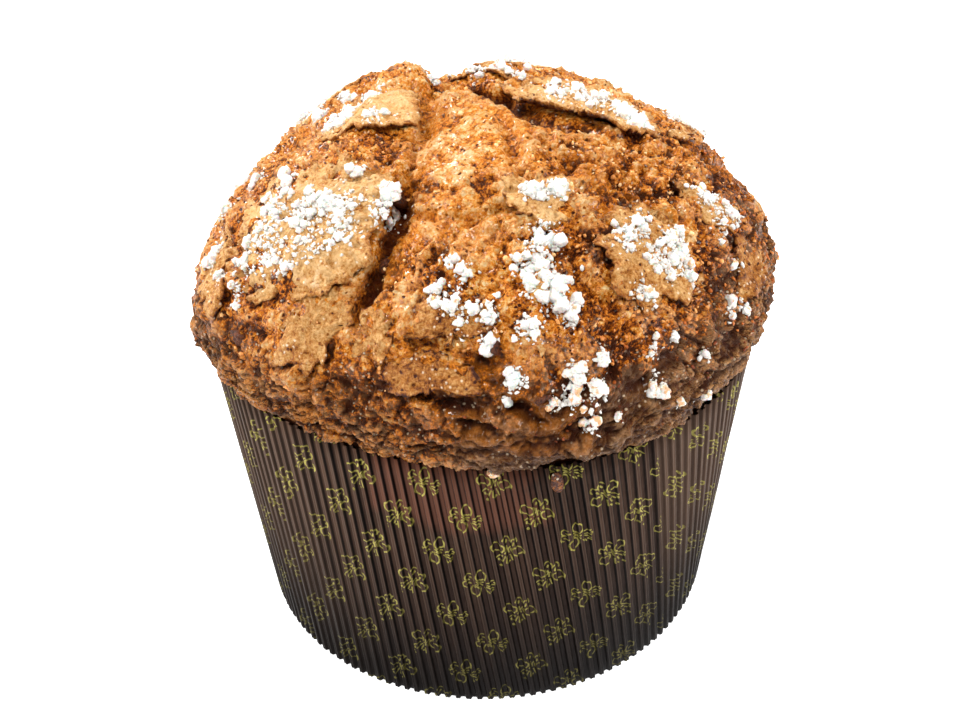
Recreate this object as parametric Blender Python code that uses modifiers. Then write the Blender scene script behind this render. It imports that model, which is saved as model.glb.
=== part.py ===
"""Panettone: a tall sweet loaf baked in a fluted paper case.

The loaf fills the case, rolls over its rim as a lip and rises into an uneven dome. A cross cut into the top
has torn open into four arms, which part the crown into four swollen lobes. The case is one strip of corrugated
paper on a paper disc, wider at the rim than at the foot, with flutes that lean as they go down.

The origin is the middle of the case's underside, with +Z up. An azimuth is measured from -Y towards +X.
"""
import math

import bmesh
import bpy
import numpy as np

# Driving dimensions, metres and radians
CASE_HEIGHT = 0.110
FOOT_RADIUS = 0.0828
RIM_RADIUS = 0.0931
RIM_OVAL = 0.0008  # the rim is this much wider from side to side than its mean
RIM_PRESS = 0.0052  # how far the rim is pressed in on one side
PRESS_AZIMUTH = math.radians(-26)
PRESS_WIDTH = math.radians(30)
FLUTES = 160
FLUTE_DEPTH = 0.0012
FLUTE_LEAN = math.radians(7.5)
FLUTE_LEAN_SWING = math.radians(6.5)
PAPER = 0.0006
WALL_BANDS = 2

GAP = 0.0003  # clearance between the loaf and the paper
CROWN_HEIGHT = 0.1838
BELLY_RADIUS = 0.0998
BELLY_OVAL = 0.0018
BELLY_HEIGHT = 0.1215
BELLY_TILT = 0.0044  # the belly hangs this much lower on the left and sits higher on the right
BELLY_PRESS = 0.0110  # the belly is pressed in too, over a wider stretch than the rim
BELLY_PRESS_WIDTH = math.radians(32)
SHOULDER_DRAW = 0.040
LIP_FULLNESS = 0.75  # 1 rolls the lip as a quarter ellipse and 0 cuts it off straight
LIP_CLEARANCE = 0.0022
LIP_WAVES = [(0.0006, 3, 0.7), (0.0004, 7, 0.0)]  # rise, waves round the rim, and start of each
LIP_SLACK = 0.0090  # how far the loaf has shrunk from the rim on one side
SLACK_AZIMUTH = math.radians(75)
SLACK_WIDTH = math.radians(32)
SLACK_DEPTH = 0.028
HEEL_RADIUS = 0.007  # rounding of the loaf's bottom edge

CROSS_CENTRE = (-0.011, 0.024)
ARM_AZIMUTHS = [math.radians(a) for a in (-12, 69, 181, -82)]
ARM_LENGTHS = [0.085, 0.062, 0.050, 0.045]
ARM_BENDS = [-0.003, -0.002, 0.004, 0.005]  # sideways bow of each arm at its middle
TEAR_DEPTH = 0.0035
TEAR_CLOSING = 0.6  # share of its depth that a tear loses by the end of its arm
TEAR_WIDTH = 0.0050
LOBE_RISE = 0.0035
LOBE_WIDTH = 0.0150
RELIEF_FADE = math.radians(35)  # the crown's relief dies out from here down to the belly
SIDE_SWELL = (0.0012, 5, 1.0)  # rise, waves round the dome, and their start
SIDE_RIPPLE = (0.0008, 9, 4.0)  # rise, waves round the dome, and how far they turn with height
SIDE_SWELL_END = -1.2  # how far under the lip the side's swell goes, in radians
SWELLS = [  # x, y, rise and reach of each hump or hollow of the crown
    (-0.036, 0.036, 0.0045, 0.020),
    (-0.068, 0.030, -0.0050, 0.030),
    (0.040, 0.040, -0.0025, 0.030),
    (0.060, -0.030, 0.0030, 0.032),
]

LOAF_SEGMENTS = 96
DOME_RINGS = 15
LIP_RINGS = 4
WALL_RINGS = 4
HEEL_RINGS = 3
LOAF_RINGS = DOME_RINGS + LIP_RINGS + WALL_RINGS + HEEL_RINGS


def bump(angle, centre, width):
    """A smooth hump of height 1 at the centre, measured round the circle."""
    away = (angle - centre + math.pi) % (2 * math.pi) - math.pi
    return np.exp(-((away / width) ** 2))


def wall_radius(azimuth, z):
    """Mid-line of the corrugated wall: a cone, pressed in on one side towards the rim."""
    rim = RIM_RADIUS - RIM_OVAL * np.cos(2 * azimuth) - RIM_PRESS * bump(azimuth, PRESS_AZIMUTH, PRESS_WIDTH)
    return FOOT_RADIUS + (rim - FOOT_RADIUS) * z / CASE_HEIGHT


def flute_drift(azimuth, z):
    """How far round a leaning flute has moved by height z, from its place at the rim."""
    lean = FLUTE_LEAN + FLUTE_LEAN_SWING * np.sin(azimuth)
    return (CASE_HEIGHT - z) * np.tan(lean) / wall_radius(azimuth, z)


def loaf_side(azimuth, z):
    """Radius of the loaf inside the case, with the slack where it has shrunk from the rim."""
    inner = wall_radius(azimuth, z) - FLUTE_DEPTH / 2 - PAPER - GAP
    rise = np.clip((z - CASE_HEIGHT + SLACK_DEPTH) / SLACK_DEPTH, 0, 1)
    slack = LIP_SLACK * bump(azimuth, SLACK_AZIMUTH, SLACK_WIDTH)
    return inner - slack * rise**2 * (3 - 2 * rise)


def lip_height(azimuth):
    """Height of the lip's underside, which waves a little above the rim."""
    wave = sum(rise * np.sin(waves * azimuth + start) for rise, waves, start in LIP_WAVES)
    return CASE_HEIGHT + LIP_CLEARANCE + wave


def arm_distance(x, y):
    """Distance in plan from the nearest arm of the cross, and how far out along it that is."""
    nearest = np.full(x.shape, 1.0)
    along_nearest = np.zeros(x.shape)
    for azimuth, length, bend in zip(ARM_AZIMUTHS, ARM_LENGTHS, ARM_BENDS):
        u, v = x - CROSS_CENTRE[0], y - CROSS_CENTRE[1]
        along = u * math.sin(azimuth) - v * math.cos(azimuth)
        across = u * math.cos(azimuth) + v * math.sin(azimuth)
        bent = across + bend * np.sin(np.pi * np.clip(along / length, 0, 1))
        beyond = np.maximum(np.maximum(-along, along - length), 0)
        distance = np.hypot(bent, beyond)
        closer = distance < nearest
        nearest = np.where(closer, distance, nearest)
        along_nearest = np.where(closer, np.clip(along / length, 0, 1), along_nearest)
    return nearest, along_nearest


def crown_relief(x, y):
    """Height added to the dome: swollen lobes, parted by tears that run out along the cut."""
    distance, along = arm_distance(x, y)
    tear = -TEAR_DEPTH * (1 - TEAR_CLOSING * along) * np.exp(-((distance / TEAR_WIDTH) ** 2))
    lobe = LOBE_RISE * (1 - np.exp(-((distance / LOBE_WIDTH) ** 2)))
    swell = sum(rise * np.exp(-((x - cx) ** 2 + (y - cy) ** 2) / reach**2) for cx, cy, rise, reach in SWELLS)
    return tear + lobe + swell


def dome(azimuth, rise):
    """Outside of the crust: rise goes from -90 degrees at the rim, past the belly at 0, to 90 at the crown."""
    press = BELLY_PRESS * bump(azimuth, PRESS_AZIMUTH, BELLY_PRESS_WIDTH)
    belly_radius = BELLY_RADIUS + BELLY_OVAL * np.cos(2 * azimuth) - press
    belly_height = BELLY_HEIGHT + BELLY_TILT * np.sin(azimuth)
    lip = lip_height(azimuth)
    tuck = belly_radius - loaf_side(azimuth, CASE_HEIGHT)
    shoulder = 1 - SHOULDER_DRAW * np.sin(2 * rise) ** 2
    above = rise >= 0
    roll = LIP_FULLNESS * (1 - np.cos(rise)) - (1 - LIP_FULLNESS) * np.sin(rise)
    radius = belly_radius * np.cos(rise) * shoulder
    radius = np.where(above, radius, belly_radius - tuck * roll)
    reach = np.where(above, CROWN_HEIGHT - belly_height, belly_height - lip)
    height = belly_height + reach * np.sin(rise)
    x, y = radius * np.sin(azimuth), -radius * np.cos(azimuth)
    height = height + crown_relief(x, y) * np.clip(rise / RELIEF_FADE, 0, 1)
    high, waves, start = SIDE_SWELL
    fine, ripples, twist = SIDE_RIPPLE
    swell = high * np.sin(waves * azimuth + start) + fine * np.sin(ripples * azimuth + twist * rise)
    outward = 1 + swell * np.cos(rise) ** 2 * (rise > SIDE_SWELL_END) / belly_radius
    return np.stack([x * outward, y * outward, height], axis=-1)


def loaf_side_ring(azimuth, ring):
    """A ring below the lip: down the wall first, then round the heel to the flat bottom."""
    floor = PAPER + GAP
    top = CASE_HEIGHT + LIP_CLEARANCE / 2
    heel_top = floor + HEEL_RADIUS
    if ring < WALL_RINGS:
        z = top + (heel_top - top) * ring / WALL_RINGS
        radius = loaf_side(azimuth, np.minimum(z, CASE_HEIGHT))
    else:
        turn = math.pi / 2 * (ring - WALL_RINGS) / HEEL_RINGS
        z = heel_top - HEEL_RADIUS * math.sin(turn)
        radius = loaf_side(azimuth, heel_top) - HEEL_RADIUS * (1 - math.cos(turn))
    return np.stack([radius * np.sin(azimuth), -radius * np.cos(azimuth), np.full_like(azimuth, z)], axis=-1)


def loaf_point(azimuth, ring):
    """Place of the loaf's ring: rings count down from just under the crown to the bottom's edge."""
    if ring <= DOME_RINGS:
        return dome(azimuth, np.full_like(azimuth, math.pi / 2 * (1 - ring / DOME_RINGS)))
    if ring <= DOME_RINGS + LIP_RINGS:
        return dome(azimuth, np.full_like(azimuth, -math.pi / 2 * (ring - DOME_RINGS) / LIP_RINGS))
    return loaf_side_ring(azimuth, ring - DOME_RINGS - LIP_RINGS)


def material(name, colour, roughness):
    """A plain Principled material."""
    made = bpy.data.materials.new(name)
    made.use_nodes = True
    shader = made.node_tree.nodes["Principled BSDF"]
    shader.inputs["Base Color"].default_value = (*colour, 1)
    shader.inputs["Roughness"].default_value = roughness
    shader.inputs["Metallic"].default_value = 0
    made.diffuse_color = (*colour, 1)
    return made


def add_object(name, shape, finish, collection):
    """Turn a bmesh into a named object of the collection."""
    mesh = bpy.data.meshes.new(name)
    shape.to_mesh(mesh)
    shape.free()
    mesh.materials.append(finish)
    made = bpy.data.objects.new(name, mesh)
    collection.objects.link(made)
    return made


def make_loaf(collection):
    """The loaf, from a sphere whose parallels become the loaf's rings."""
    shape = bmesh.new()
    bmesh.ops.create_uvsphere(shape, u_segments=LOAF_SEGMENTS, v_segments=LOAF_RINGS + 1, radius=1)
    for vert in shape.verts:
        ring = round((math.pi / 2 - math.asin(max(-1, min(1, vert.co.z)))) / math.pi * (LOAF_RINGS + 1))
        azimuth = np.array([math.atan2(vert.co.x, -vert.co.y)])
        if ring == LOAF_RINGS + 1:
            vert.co = (0, 0, PAPER + GAP)
        else:
            vert.co = loaf_point(azimuth, ring)[0]
    bmesh.ops.recalc_face_normals(shape, faces=shape.faces)
    loaf = add_object("loaf", shape, material("crust", (0.46, 0.20, 0.06), 0.55), collection)
    loaf.data.shade_smooth()
    return loaf


def place_flutes(ring, z):
    """Set one ring of the wall to its height, every other vertex on a crest and the rest in a valley."""
    for vert, flute in ring.items():
        at_rim = math.pi * flute / FLUTES
        azimuth = at_rim + flute_drift(at_rim, z)
        radius = wall_radius(azimuth, z) + FLUTE_DEPTH / 2 * (1 if flute % 2 else -1)
        vert.co = (radius * math.sin(azimuth), -radius * math.cos(azimuth), z)


def make_paper_case(collection):
    """The case: a paper disc whose edge is drawn up into the fluted wall, then given its thickness."""
    shape = bmesh.new()
    around = 2 * FLUTES
    bmesh.ops.create_circle(shape, cap_ends=True, cap_tris=True, segments=around, radius=FOOT_RADIUS)
    edge = [e for e in shape.edges if e.is_boundary]
    rim = {v for e in edge for v in e.verts}
    ring = {vert: flute for flute, vert in enumerate(sorted(rim, key=lambda v: math.atan2(v.co.x, -v.co.y)))}
    place_flutes(ring, 0)
    for band in range(WALL_BANDS):
        lifted = bmesh.ops.extrude_edge_only(shape, edges=edge)["geom"]
        edge = [g for g in lifted if isinstance(g, bmesh.types.BMEdge) and g.is_boundary]
        above = {}
        for vert in {v for e in edge for v in e.verts}:
            below = next(e.other_vert(vert) for e in vert.link_edges if e.other_vert(vert) in ring)
            above[vert] = ring[below]
        ring = above
        place_flutes(ring, CASE_HEIGHT * (band + 1) / WALL_BANDS)
    bmesh.ops.recalc_face_normals(shape, faces=shape.faces)
    case = add_object("paper_case", shape, material("case_paper", (0.055, 0.035, 0.03), 0.6), collection)
    thickness = case.modifiers.new("thickness", "SOLIDIFY")
    thickness.thickness = PAPER
    thickness.offset = -1
    return case


def main():
    for old in list(bpy.data.objects):
        bpy.data.objects.remove(old, do_unlink=True)
    collection = bpy.data.collections.new("panettone")
    bpy.context.scene.collection.children.link(collection)
    make_loaf(collection)
    make_paper_case(collection)


main()
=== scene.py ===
"""Looks for a panettone in its fluted paper case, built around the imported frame.

Lengths are metres (MM makes them from millimetres) and angles radians. An azimuth is measured from -Y
towards +X, and a flute's own angle is its azimuth at the rim, because the flutes lean as they go down. The
crust is laid out on a flat map: a point's distance from the map's middle is its distance over the crust from
the crown, and its direction is its azimuth, with +X to the right and +Y to the back.
"""
import itertools
import math

import bpy
import numpy as np
from mathutils import Euler, Matrix


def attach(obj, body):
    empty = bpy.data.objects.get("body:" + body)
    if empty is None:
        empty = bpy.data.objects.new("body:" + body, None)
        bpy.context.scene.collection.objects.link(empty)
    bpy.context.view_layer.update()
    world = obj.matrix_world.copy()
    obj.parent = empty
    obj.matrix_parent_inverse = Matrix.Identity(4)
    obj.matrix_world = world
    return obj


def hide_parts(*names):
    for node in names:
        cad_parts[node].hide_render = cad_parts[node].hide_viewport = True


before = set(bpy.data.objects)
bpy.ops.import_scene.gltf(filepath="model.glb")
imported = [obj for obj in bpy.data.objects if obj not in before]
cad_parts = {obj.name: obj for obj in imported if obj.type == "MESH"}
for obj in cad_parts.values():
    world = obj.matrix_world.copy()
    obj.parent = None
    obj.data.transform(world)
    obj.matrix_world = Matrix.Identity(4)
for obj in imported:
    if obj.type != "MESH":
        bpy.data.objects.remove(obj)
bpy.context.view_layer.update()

MM = 0.001

# The case, as the CAD solid has it
CASE_HEIGHT = 110 * MM
FOOT_RADIUS = 82.8 * MM
RIM_RADIUS = 93.1 * MM
RIM_OVAL = 0.8 * MM
RIM_PRESS = 5.2 * MM
PRESS_AZIMUTH = math.radians(-26)
PRESS_WIDTH = math.radians(30)
FLUTES = 160
FLUTE_DEPTH = 1.2 * MM
FLUTE_LEAN = math.radians(7.5)
FLUTE_LEAN_SWING = math.radians(6.5)
PAPER = 0.6 * MM
GAP = 0.3 * MM

# The loaf, as the CAD solid has it
CROWN_HEIGHT = 183.8 * MM
BELLY_RADIUS = 99.8 * MM
BELLY_OVAL = 1.8 * MM
BELLY_HEIGHT = 121.5 * MM
BELLY_TILT = 4.4 * MM
BELLY_PRESS = 11.0 * MM
BELLY_PRESS_WIDTH = math.radians(32)
SHOULDER_DRAW = 0.040
LIP_FULLNESS = 0.75
LIP_CLEARANCE = 1.2 * MM
LIP_SLACK = 9.0 * MM
SLACK_AZIMUTH = math.radians(75)
SLACK_WIDTH = math.radians(32)
SLACK_DEPTH = 28 * MM
HEEL_RADIUS = 7 * MM
CROSS_CENTRE = (-11 * MM, 24 * MM)
# The cut's arms have an azimuth in degrees, a length and a bow in mm, and all four numbers of a swell are mm
ARMS = [(-12, 85, -3), (69, 62, -2), (181, 50, 4), (-82, 45, 5)]
TEAR_DEPTH = 3.5 * MM
TEAR_WIDTH = 5 * MM
LOBE_RISE = 3.5 * MM
SWELLS = [(-36, 36, 4.5, 20), (-68, 30, -5, 30), (40, 40, -2.5, 30), (60, -30, 3, 32)]  # x, y, rise, width

# How the crust's map is measured
MAP_CROWN_RADIUS = 100 * MM
MAP_CROWN_RISE = 62 * MM
SLOPE_STEP = 0.6 * MM  # how far to each side of a point its slope is taken
LIP_REACH = 20 * MM
RIM_BAND = 2.8 * MM  # how far to each side of the wall's mid-line the lip stays above the paper
CRUST_STEPS = 296
CROWDING = 0.18  # how much closer the crust's points lie at the front than at the back

SLOPES = np.random.default_rng(5).normal(size=(256, 3))
SLOPES /= np.linalg.norm(SLOPES, axis=1)[:, None]


# ------------ numbers that vary over a surface
def scramble(corner, seed):
    """A whole number for each lattice corner: its places times large odd numbers, mixed by shifts."""
    mixed = corner @ np.array((374761393, 668265263, 2147483647)) + seed * 1274126177
    mixed = ((mixed ^ (mixed >> 13)) & 0xFFFFFFFF) * 1274126177 & 0xFFFFFFFF
    return mixed ^ (mixed >> 16)


def grain(place, size, seed):
    """Gradient noise, about -1 to 1: random slopes at the corners of cubes `size` wide, blended smoothly."""
    scaled = place / size
    cell = np.floor(scaled).astype(np.int64)
    part = scaled - cell
    fade = part**3 * (part * (6 * part - 15) + 10)
    total = np.zeros(place.shape[:-1])
    for corner in itertools.product((0, 1), repeat=3):
        slope = SLOPES[scramble(cell + np.array(corner), seed) % 256]
        weight = np.prod(np.where(np.array(corner) == 1, fade, 1 - fade), axis=-1)
        total += weight * np.sum(slope * (part - np.array(corner)), axis=-1)
    return total * 1.7


def grains(place, size, layers, seed, fall=0.5):
    """Layers of grain, each half the size of the last and `fall` times as strong."""
    return sum(grain(place, size / 2**layer, seed + layer) * fall**layer for layer in range(layers))


def cell_edges(place, size, seed):
    """Distance from the nearest wall between random cells `size` wide, and a number for each cell."""
    scaled = place / size
    home = np.floor(scaled).astype(np.int64)
    first = np.full(place.shape[:-1], 9.0)
    second = first.copy()
    owner = first.copy()
    for step in itertools.product((-1, 0, 1), repeat=3):
        cell = home + np.array(step)
        jitter = [scramble(cell, seed + axis) % 1024 / 1024 for axis in range(3)]
        away = np.linalg.norm(cell + np.stack(jitter, axis=-1) - scaled, axis=-1)
        nearer = away < first
        second = np.where(nearer, first, np.minimum(second, away))
        owner = np.where(nearer, jitter[0], owner)
        first = np.where(nearer, away, first)
    return (second - first) * size, owner


def smooth(value, low, high):
    """0 below low, 1 above high, and an S-curve between."""
    part = np.clip((value - low) / (high - low), 0, 1)
    return part * part * (3 - 2 * part)


def bump(angle, centre, width):
    """A smooth hump of height 1 at the centre, measured round the circle."""
    away = (angle - centre + math.pi) % (2 * math.pi) - math.pi
    return np.exp(-((away / width) ** 2))


def patch(flat, right, back, wide, deep):
    """1 at a point of the map given in mm, fading in an oval round it as a bell curve does."""
    return np.exp(-(((flat[..., 0] / MM - right) / wide) ** 2) - ((flat[..., 1] / MM - back) / deep) ** 2)


# ------------ the shapes of the CAD solids
def polar(points):
    """Distance from the axis, or from the middle of the map, and azimuth."""
    return np.hypot(points[..., 0], points[..., 1]), np.arctan2(points[..., 0], -points[..., 1])


def around(radius, azimuth, z):
    """A point from its distance from the axis, its azimuth and its height."""
    radius, azimuth, z = np.broadcast_arrays(radius, azimuth, z)
    return np.stack([radius * np.sin(azimuth), -radius * np.cos(azimuth), z], axis=-1)


def wall_radius(azimuth, z):
    """Mid-line of the corrugated wall: a cone, pressed in on one side towards the rim."""
    rim = RIM_RADIUS - RIM_OVAL * np.cos(2 * azimuth) - RIM_PRESS * bump(azimuth, PRESS_AZIMUTH, PRESS_WIDTH)
    return FOOT_RADIUS + (rim - FOOT_RADIUS) * z / CASE_HEIGHT


def flute_drift(azimuth, z):
    """How far round a leaning flute has moved by height z, from its place at the rim."""
    lean = FLUTE_LEAN + FLUTE_LEAN_SWING * np.sin(azimuth)
    return (CASE_HEIGHT - z) * np.tan(lean) / wall_radius(azimuth, z)


def loaf_side(azimuth, z):
    """Radius of the loaf inside the case, less where it has shrunk from the rim on one side."""
    rise = smooth(z, CASE_HEIGHT - SLACK_DEPTH, CASE_HEIGHT)
    slack = LIP_SLACK * bump(azimuth, SLACK_AZIMUTH, SLACK_WIDTH) * rise
    return wall_radius(azimuth, z) - FLUTE_DEPTH / 2 - PAPER - GAP - slack


def crown_relief(x, y):
    """Height added to the dome: swollen lobes, parted by the tears that run out along the cut cross."""
    nearest = np.full(x.shape, 1.0)
    along_nearest = np.zeros(x.shape)
    for turn, length, bow in ARMS:
        azimuth, length, bow = math.radians(turn), length * MM, bow * MM
        u, v = x - CROSS_CENTRE[0], y - CROSS_CENTRE[1]
        along = u * math.sin(azimuth) - v * math.cos(azimuth)
        across = u * math.cos(azimuth) + v * math.sin(azimuth)
        part = np.clip(along / length, 0, 1)
        past_end = np.maximum(np.maximum(-along, along - length), 0)
        away = np.hypot(across + bow * np.sin(np.pi * part), past_end)
        along_nearest = np.where(away < nearest, part, along_nearest)
        nearest = np.minimum(nearest, away)
    tear = -TEAR_DEPTH * (1 - 0.6 * along_nearest) * np.exp(-((nearest / TEAR_WIDTH) ** 2))
    lobe = LOBE_RISE * (1 - np.exp(-((nearest / (3 * TEAR_WIDTH)) ** 2)))
    swells = [rise * MM * np.exp(-((x - a * MM) ** 2 + (y - b * MM) ** 2) / (width * MM) ** 2)
              for a, b, rise, width in SWELLS]
    return tear + lobe + sum(swells)


def dome(azimuth, rise):
    """Outside of the crust: rise goes from -90 degrees at the rim, past 0 at the belly, to 90 at the crown.

    Below the belly the lip rolls in to the loaf's side. Above it an ellipse, drawn in a little at the
    shoulder, carries the lobes and tears of the crown, and long ripples run round it.
    """
    press = BELLY_PRESS * bump(azimuth, PRESS_AZIMUTH, BELLY_PRESS_WIDTH)
    belly_radius = BELLY_RADIUS + BELLY_OVAL * np.cos(2 * azimuth) - press
    belly_height = BELLY_HEIGHT + BELLY_TILT * np.sin(azimuth)
    ripple = (1 + 0.6 * np.sin(3 * azimuth + 0.7) + 0.4 * np.sin(7 * azimuth)) * MM
    lip = CASE_HEIGHT + LIP_CLEARANCE + ripple
    tuck = belly_radius - loaf_side(azimuth, CASE_HEIGHT)
    above = rise >= 0
    roll = LIP_FULLNESS * (1 - np.cos(rise)) - (1 - LIP_FULLNESS) * np.sin(rise)
    shoulder = belly_radius * np.cos(rise) * (1 - SHOULDER_DRAW * np.sin(2 * rise) ** 2)
    radius = np.where(above, shoulder, belly_radius - tuck * roll)
    height = belly_height + np.where(above, CROWN_HEIGHT - belly_height, belly_height - lip) * np.sin(rise)
    place = around(radius, azimuth, height)
    relief = crown_relief(place[..., 0], place[..., 1]) * np.clip(rise / math.radians(35), 0, 1)
    swell = (1.2 * np.sin(5 * azimuth + 1) + 0.8 * np.sin(9 * azimuth + 4 * rise)) * MM
    outward = 1 + swell * np.cos(rise) ** 2 * (rise > -1.2) / belly_radius
    return np.stack([place[..., 0] * outward, place[..., 1] * outward, height + relief], axis=-1)


MAP_RISES = np.radians(np.linspace(90, 0, 181))  # every half degree
MAP_SPEEDS = np.hypot(MAP_CROWN_RADIUS * np.sin(MAP_RISES), MAP_CROWN_RISE * np.cos(MAP_RISES))
MAP_STEPS = MAP_SPEEDS * math.radians(0.5)
MAP_REACHES = np.concatenate([[0], np.cumsum((MAP_STEPS[1:] + MAP_STEPS[:-1]) / 2)])
BELLY_REACH = MAP_REACHES[-1]
RIM_REACH = BELLY_REACH + LIP_REACH


def crust_place(flat):
    """The dome's point for a point of the flat map: its reach is an arc's length from the crown."""
    reach, azimuth = polar(flat)
    below = np.clip((reach - BELLY_REACH) / LIP_REACH, 0, 1)
    rise = np.where(reach < BELLY_REACH, np.interp(reach, MAP_REACHES, MAP_RISES), -math.pi / 2 * below)
    return dome(azimuth, rise)


def crust_outward(flat):
    """Direction out of the dome: the cross product of its slopes along the map's two sides."""
    right, back = np.array((SLOPE_STEP, 0)), np.array((0, SLOPE_STEP))
    slope_right = crust_place(flat + right) - crust_place(flat - right)
    slope_back = crust_place(flat + back) - crust_place(flat - back)
    out = np.cross(slope_right, slope_back)
    return out / np.linalg.norm(out, axis=-1, keepdims=True)


# ------------ the crust's own relief
TEARS = [  # the crust's open tears on the map, in mm: width, depth and the points each passes
    (2.2, 2.4, [(-14, 32), (-15, 8), (-18, -11), (-25, -36)]),
    (3, 6.5, [(-25, -38), (-28, -49), (-33, -60), (-38, -70), (-46, -84)]),
    (3.4, 6.5, [(-13, 37), (-4, 32), (3, 24), (11, 20)]),
    (6.6, 9, [(11, 16), (17, 2), (24, -6), (33, -10)]),
    (3.8, 4.6, [(33, -10), (46, -15), (58, -18), (68, -17)]),
    (2, 2.2, [(8, -8), (11, -24), (12, -36), (13, -46)]),
    (1.8, 2.8, [(20, -25), (28, -35), (42, -31), (56, -31)]),
    (1.8, 2.6, [(35, -43), (44, -38), (53, -48), (64, -51)]),
    (2.2, 2.8, [(-28, -48), (-13, -60), (0, -59), (14, -52)]), (2, 2, [(-22, -54), (-8, -66), (4, -65)]),
    (2.2, 3, [(-22, -98), (-4, -102), (10, -103)]),
    (2.4, 3.4, [(-36, -104), (-18, -115), (8, -114), (20, -118)]),
    (2.2, 3, [(-8, -121), (17, -123), (34, -119)]), (2.2, 2.6, [(-62, -84), (-70, -96), (-76, -104)]),
    (3, 4, [(-12, 30), (-14, 55), (-10, 80), (-2, 98)]),
    (2, 2.4, [(-14, 26), (-30, 34), (-56, 36), (-78, 28)]),
    (2.4, 3, [(58, -16), (76, -8), (92, 6), (104, 22)]), (2.4, 3, [(60, 52), (72, 72), (70, 92)]),
    (2.4, 2.6, [(-50, 70), (-30, 88), (-26, 108)]), (2, 2.4, [(-100, 10), (-94, 34), (-104, 52)]),
]


def path_distance(flat, path):
    """Distance on the map from a broken line through the points of path."""
    nearest = np.full(flat.shape[:-1], 1.0)
    points = np.array(path) * MM
    for start, end in zip(points[:-1], points[1:]):
        stretch = end - start
        part = np.clip((flat - start) @ stretch / (stretch @ stretch), 0, 1)
        nearest = np.minimum(nearest, np.linalg.norm(flat - start - part[..., None] * stretch, axis=-1))
    return nearest


def crust_relief(flat, place, bare=True):
    """How far the crust stands out from the dome, and its fields: the painted shade of its crevices and of
    its deep hollows, and how torn it is, each 0 to 1, and how high a flake it is, about -1 to 1.

    Broad lumps, crumbly knobs and small pits are layers of grain, and flakes are grain rounded to steps.
    Chunks part along the walls of small cells, and cracks run along those of large ones, which lie in level
    layers round the lip. Tears follow their lines, and the rolled lip carries folds stretched along its
    length. What lies under a plate of glaze, bare=False, has the lumps and faint pits alone, because the
    plate bridges the rest.
    """
    reach, azimuth = polar(flat)
    warp = np.stack([grain(place, 9 * MM, 40 + axis) for axis in range(3)], axis=-1) * 2.6 * MM
    low = smooth(reach, 96 * MM, 122 * MM)
    lumps = grains(place, 17 * MM, 3, 1) * 1.0 * MM
    knobs = (0.45 - np.abs(grains(place + warp, 7.5 * MM, 3, 11, 0.6))) * 1.0 * MM
    steps = grains(place + warp * 0.6, 12 * MM, 5, 140, 0.64) * 3
    flake = (np.floor(steps) + smooth(steps - np.floor(steps), 0.45, 0.75)) / 3
    pits = -smooth(grain(place + warp, 3.6 * MM, 21), 0.1, 0.5) * 1.0 * MM
    fine = grains(place, 2.6 * MM, 2, 31, 0.8) * 0.5 * MM
    layered = place + warp * (1 - 0.4 * low[..., None])
    layered[..., 2] += (place[..., 2] - 112 * MM) * 1.6 * low
    wall, owner = cell_edges(layered, 15 * MM, 50)
    cracked = smooth(grain(place, 30 * MM, 60) + 0.5 * smooth(azimuth, 0, 1) + 0.5 * low, 0.05, 0.45)
    cracks = (1 - smooth(wall + low * grain(place, 4 * MM, 61) * 1.2 * MM, 0.2 * MM, 1.8 * MM)) * cracked
    tilt = (owner - 0.5) * 1.0 * MM * cracked
    chunk_wall, chunk = cell_edges(layered - warp * 0.3, 5.2 * MM, 130)
    craggy = 0.9 * patch(flat, 48, -18, 38, 24) + 0.7 * patch(flat, -36, -6, 16, 22)
    craggy = craggy - 0.8 * patch(flat, -2, -26, 24, 26)
    craggy = np.clip(craggy + 0.32 + 0.8 * grain(place, 24 * MM, 131), 0, 1)
    gaps = (1 - smooth(chunk_wall, 0.1 * MM, 1.4 * MM)) * craggy
    chunks = (chunk - 0.5) * 1.7 * MM * craggy
    lip_place = np.stack([azimuth * 95 / 15, reach / (3.2 * MM), np.full(reach.shape, 0.5)], axis=-1)
    folds = (0.4 - np.abs(grains(lip_place + warp / (9 * MM), 1.0, 5, 70, 0.66))) * low
    calm = patch(flat, -2, -22, 20, 28)
    rim = smooth(RIM_REACH - reach, -1 * MM, 1.5 * MM)
    deep = np.zeros(reach.shape)
    torn = np.zeros(reach.shape)
    wobble = grains(place, 8 * MM, 3, 80) * 2.2 * MM
    for width, depth, path in TEARS:
        away = np.maximum(path_distance(flat, path) + wobble, 0)
        deep = np.maximum(deep, depth * MM * np.exp(-((away / (width * MM)) ** 2)))
        torn = np.maximum(torn, np.exp(-((away / (3 * width * MM)) ** 2)))
    covered = 1 - plate_cover(flat) if bare else 0
    chunky = (chunks - gaps * 1.3 * MM) * (1 - 0.85 * low)
    fine_lift = (knobs + pits + fine) * (1 - 0.6 * low) + chunky + flake * 1.5 * MM
    fine_lift = fine_lift * (1 - 0.5 * calm) - cracks * 1.2 * MM + tilt * (1 - 0.5 * low) + folds * 1.3 * MM
    lift = lumps + fine_lift * covered + (pits + fine) * 0.45 * (1 - covered)
    lift = lift * (0.5 + 0.5 * rim) + smooth(reach, 134 * MM, 145 * MM) * 1.8 * MM - (deep if bare else 0)
    # Painted shade: tears, cracks, the hollows between knobs and chunks, the lip's fold valleys and pits are
    # marked dark
    crevice = smooth(deep / MM, 0.8, 4.5) + 0.8 * cracks + 0.5 * smooth(-knobs / MM, 0.1, 0.7) + 0.55 * gaps
    crevice = crevice + 0.9 * smooth(-folds, 0.0, 0.3) * low + 0.5 * smooth(-pits / MM, 0.3, 0.8)
    # Painted shade: the deepest tears and the hollow under the raised flap are marked for near-black brown
    hollow = smooth(deep / MM, 3.5, 6.5)
    return lift, {"crevice": np.clip(crevice, 0, 1), "torn": torn, "hollow": hollow, "flake": flake}


# ------------ meshes
def add_object(name, data):
    """A new object in the scene, at the origin."""
    thing = bpy.data.objects.new(name, data)
    bpy.context.scene.collection.objects.link(thing)
    return thing


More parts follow.
